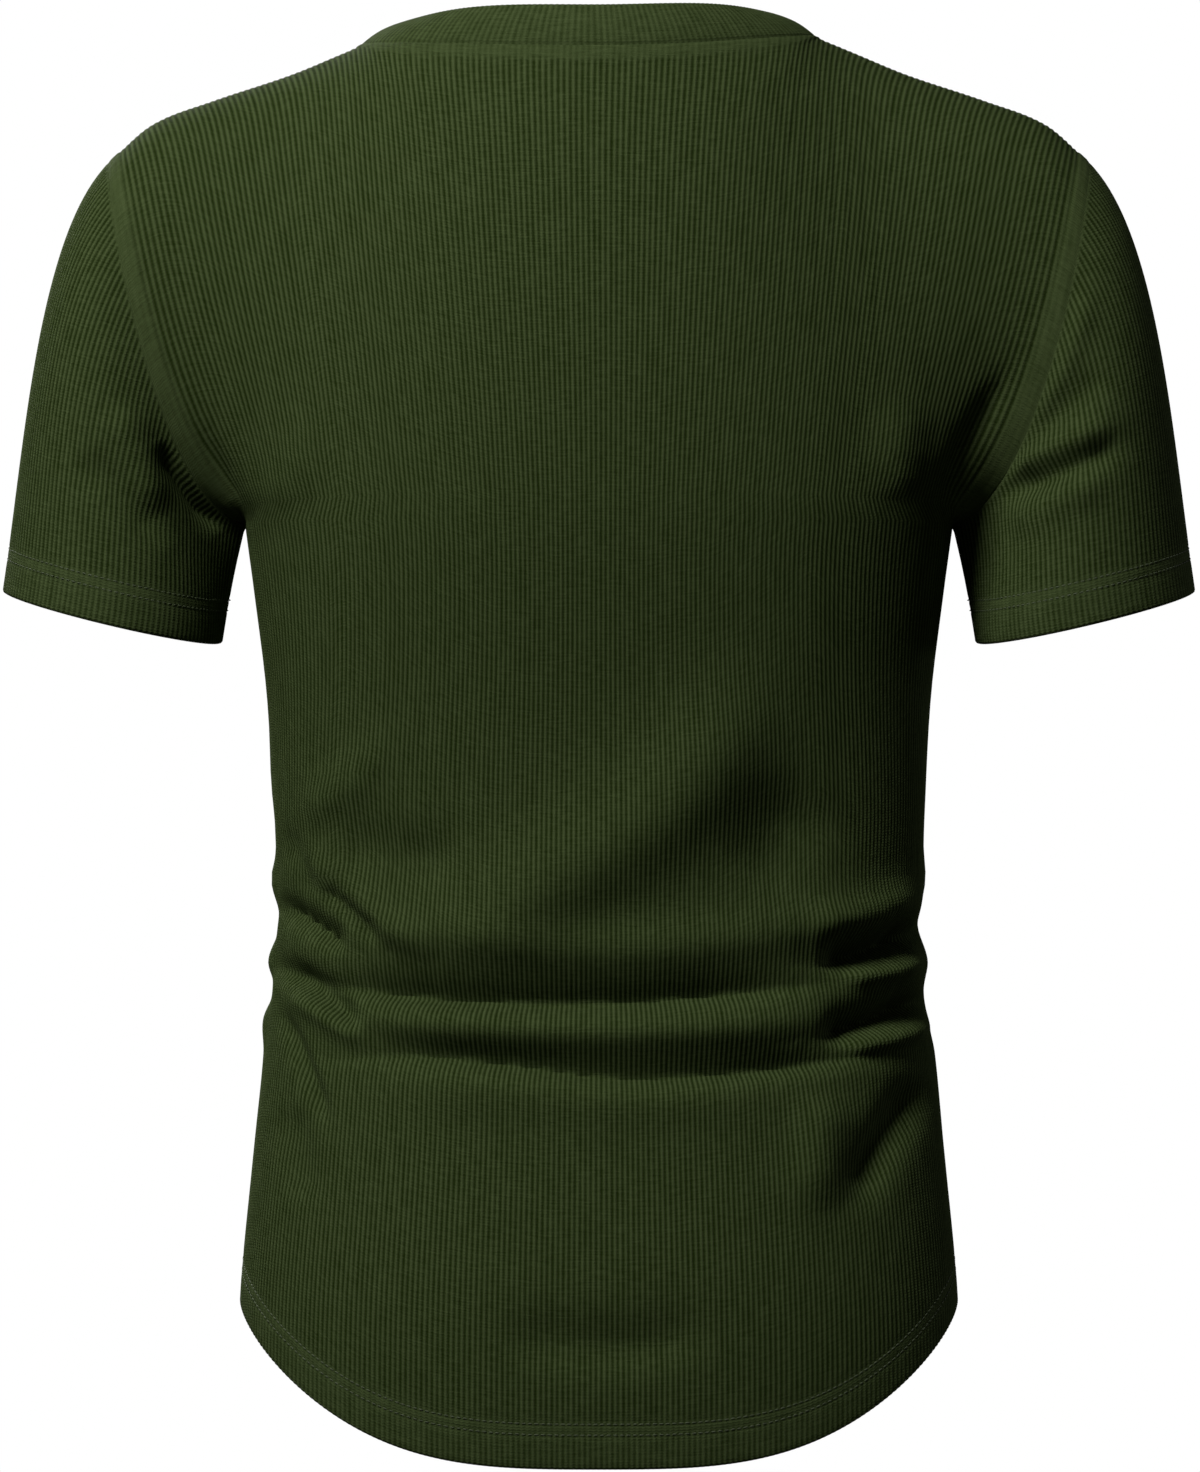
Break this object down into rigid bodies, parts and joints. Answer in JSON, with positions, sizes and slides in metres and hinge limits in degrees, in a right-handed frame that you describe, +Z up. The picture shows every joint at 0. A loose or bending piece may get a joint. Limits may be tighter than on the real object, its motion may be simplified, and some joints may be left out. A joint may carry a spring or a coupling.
{
  "type": "henley shirt",
  "caption": "Short-sleeved henley shirt in rib knit with a round neckband, a short buttoned placket and a curved hem, filled out as if worn, with nobody in it.",
  "frame": {"origin": "midway between the two neck points of the shoulder seams, where the shirt hangs on the wearer's shoulders", "axes": "+Z up, -Y towards the wearer's front with the placket, +X towards the wearer's left sleeve"},
  "size_m": [0.566, 0.227, 0.679],
  "materials": {
    "rib_knit": "matte",
    "button": "satin"
  },
  "bodies": {
    "root": {"back_panel": "rib_knit", "front_panel": "rib_knit", "sleeve_left": "rib_knit", "sleeve_right": "rib_knit", "neckband": "rib_knit", "placket_upper": "rib_knit", "placket_under": "rib_knit", "button_1": "button", "button_2": "button", "button_3": "button"}
  },
  "joints": []
}
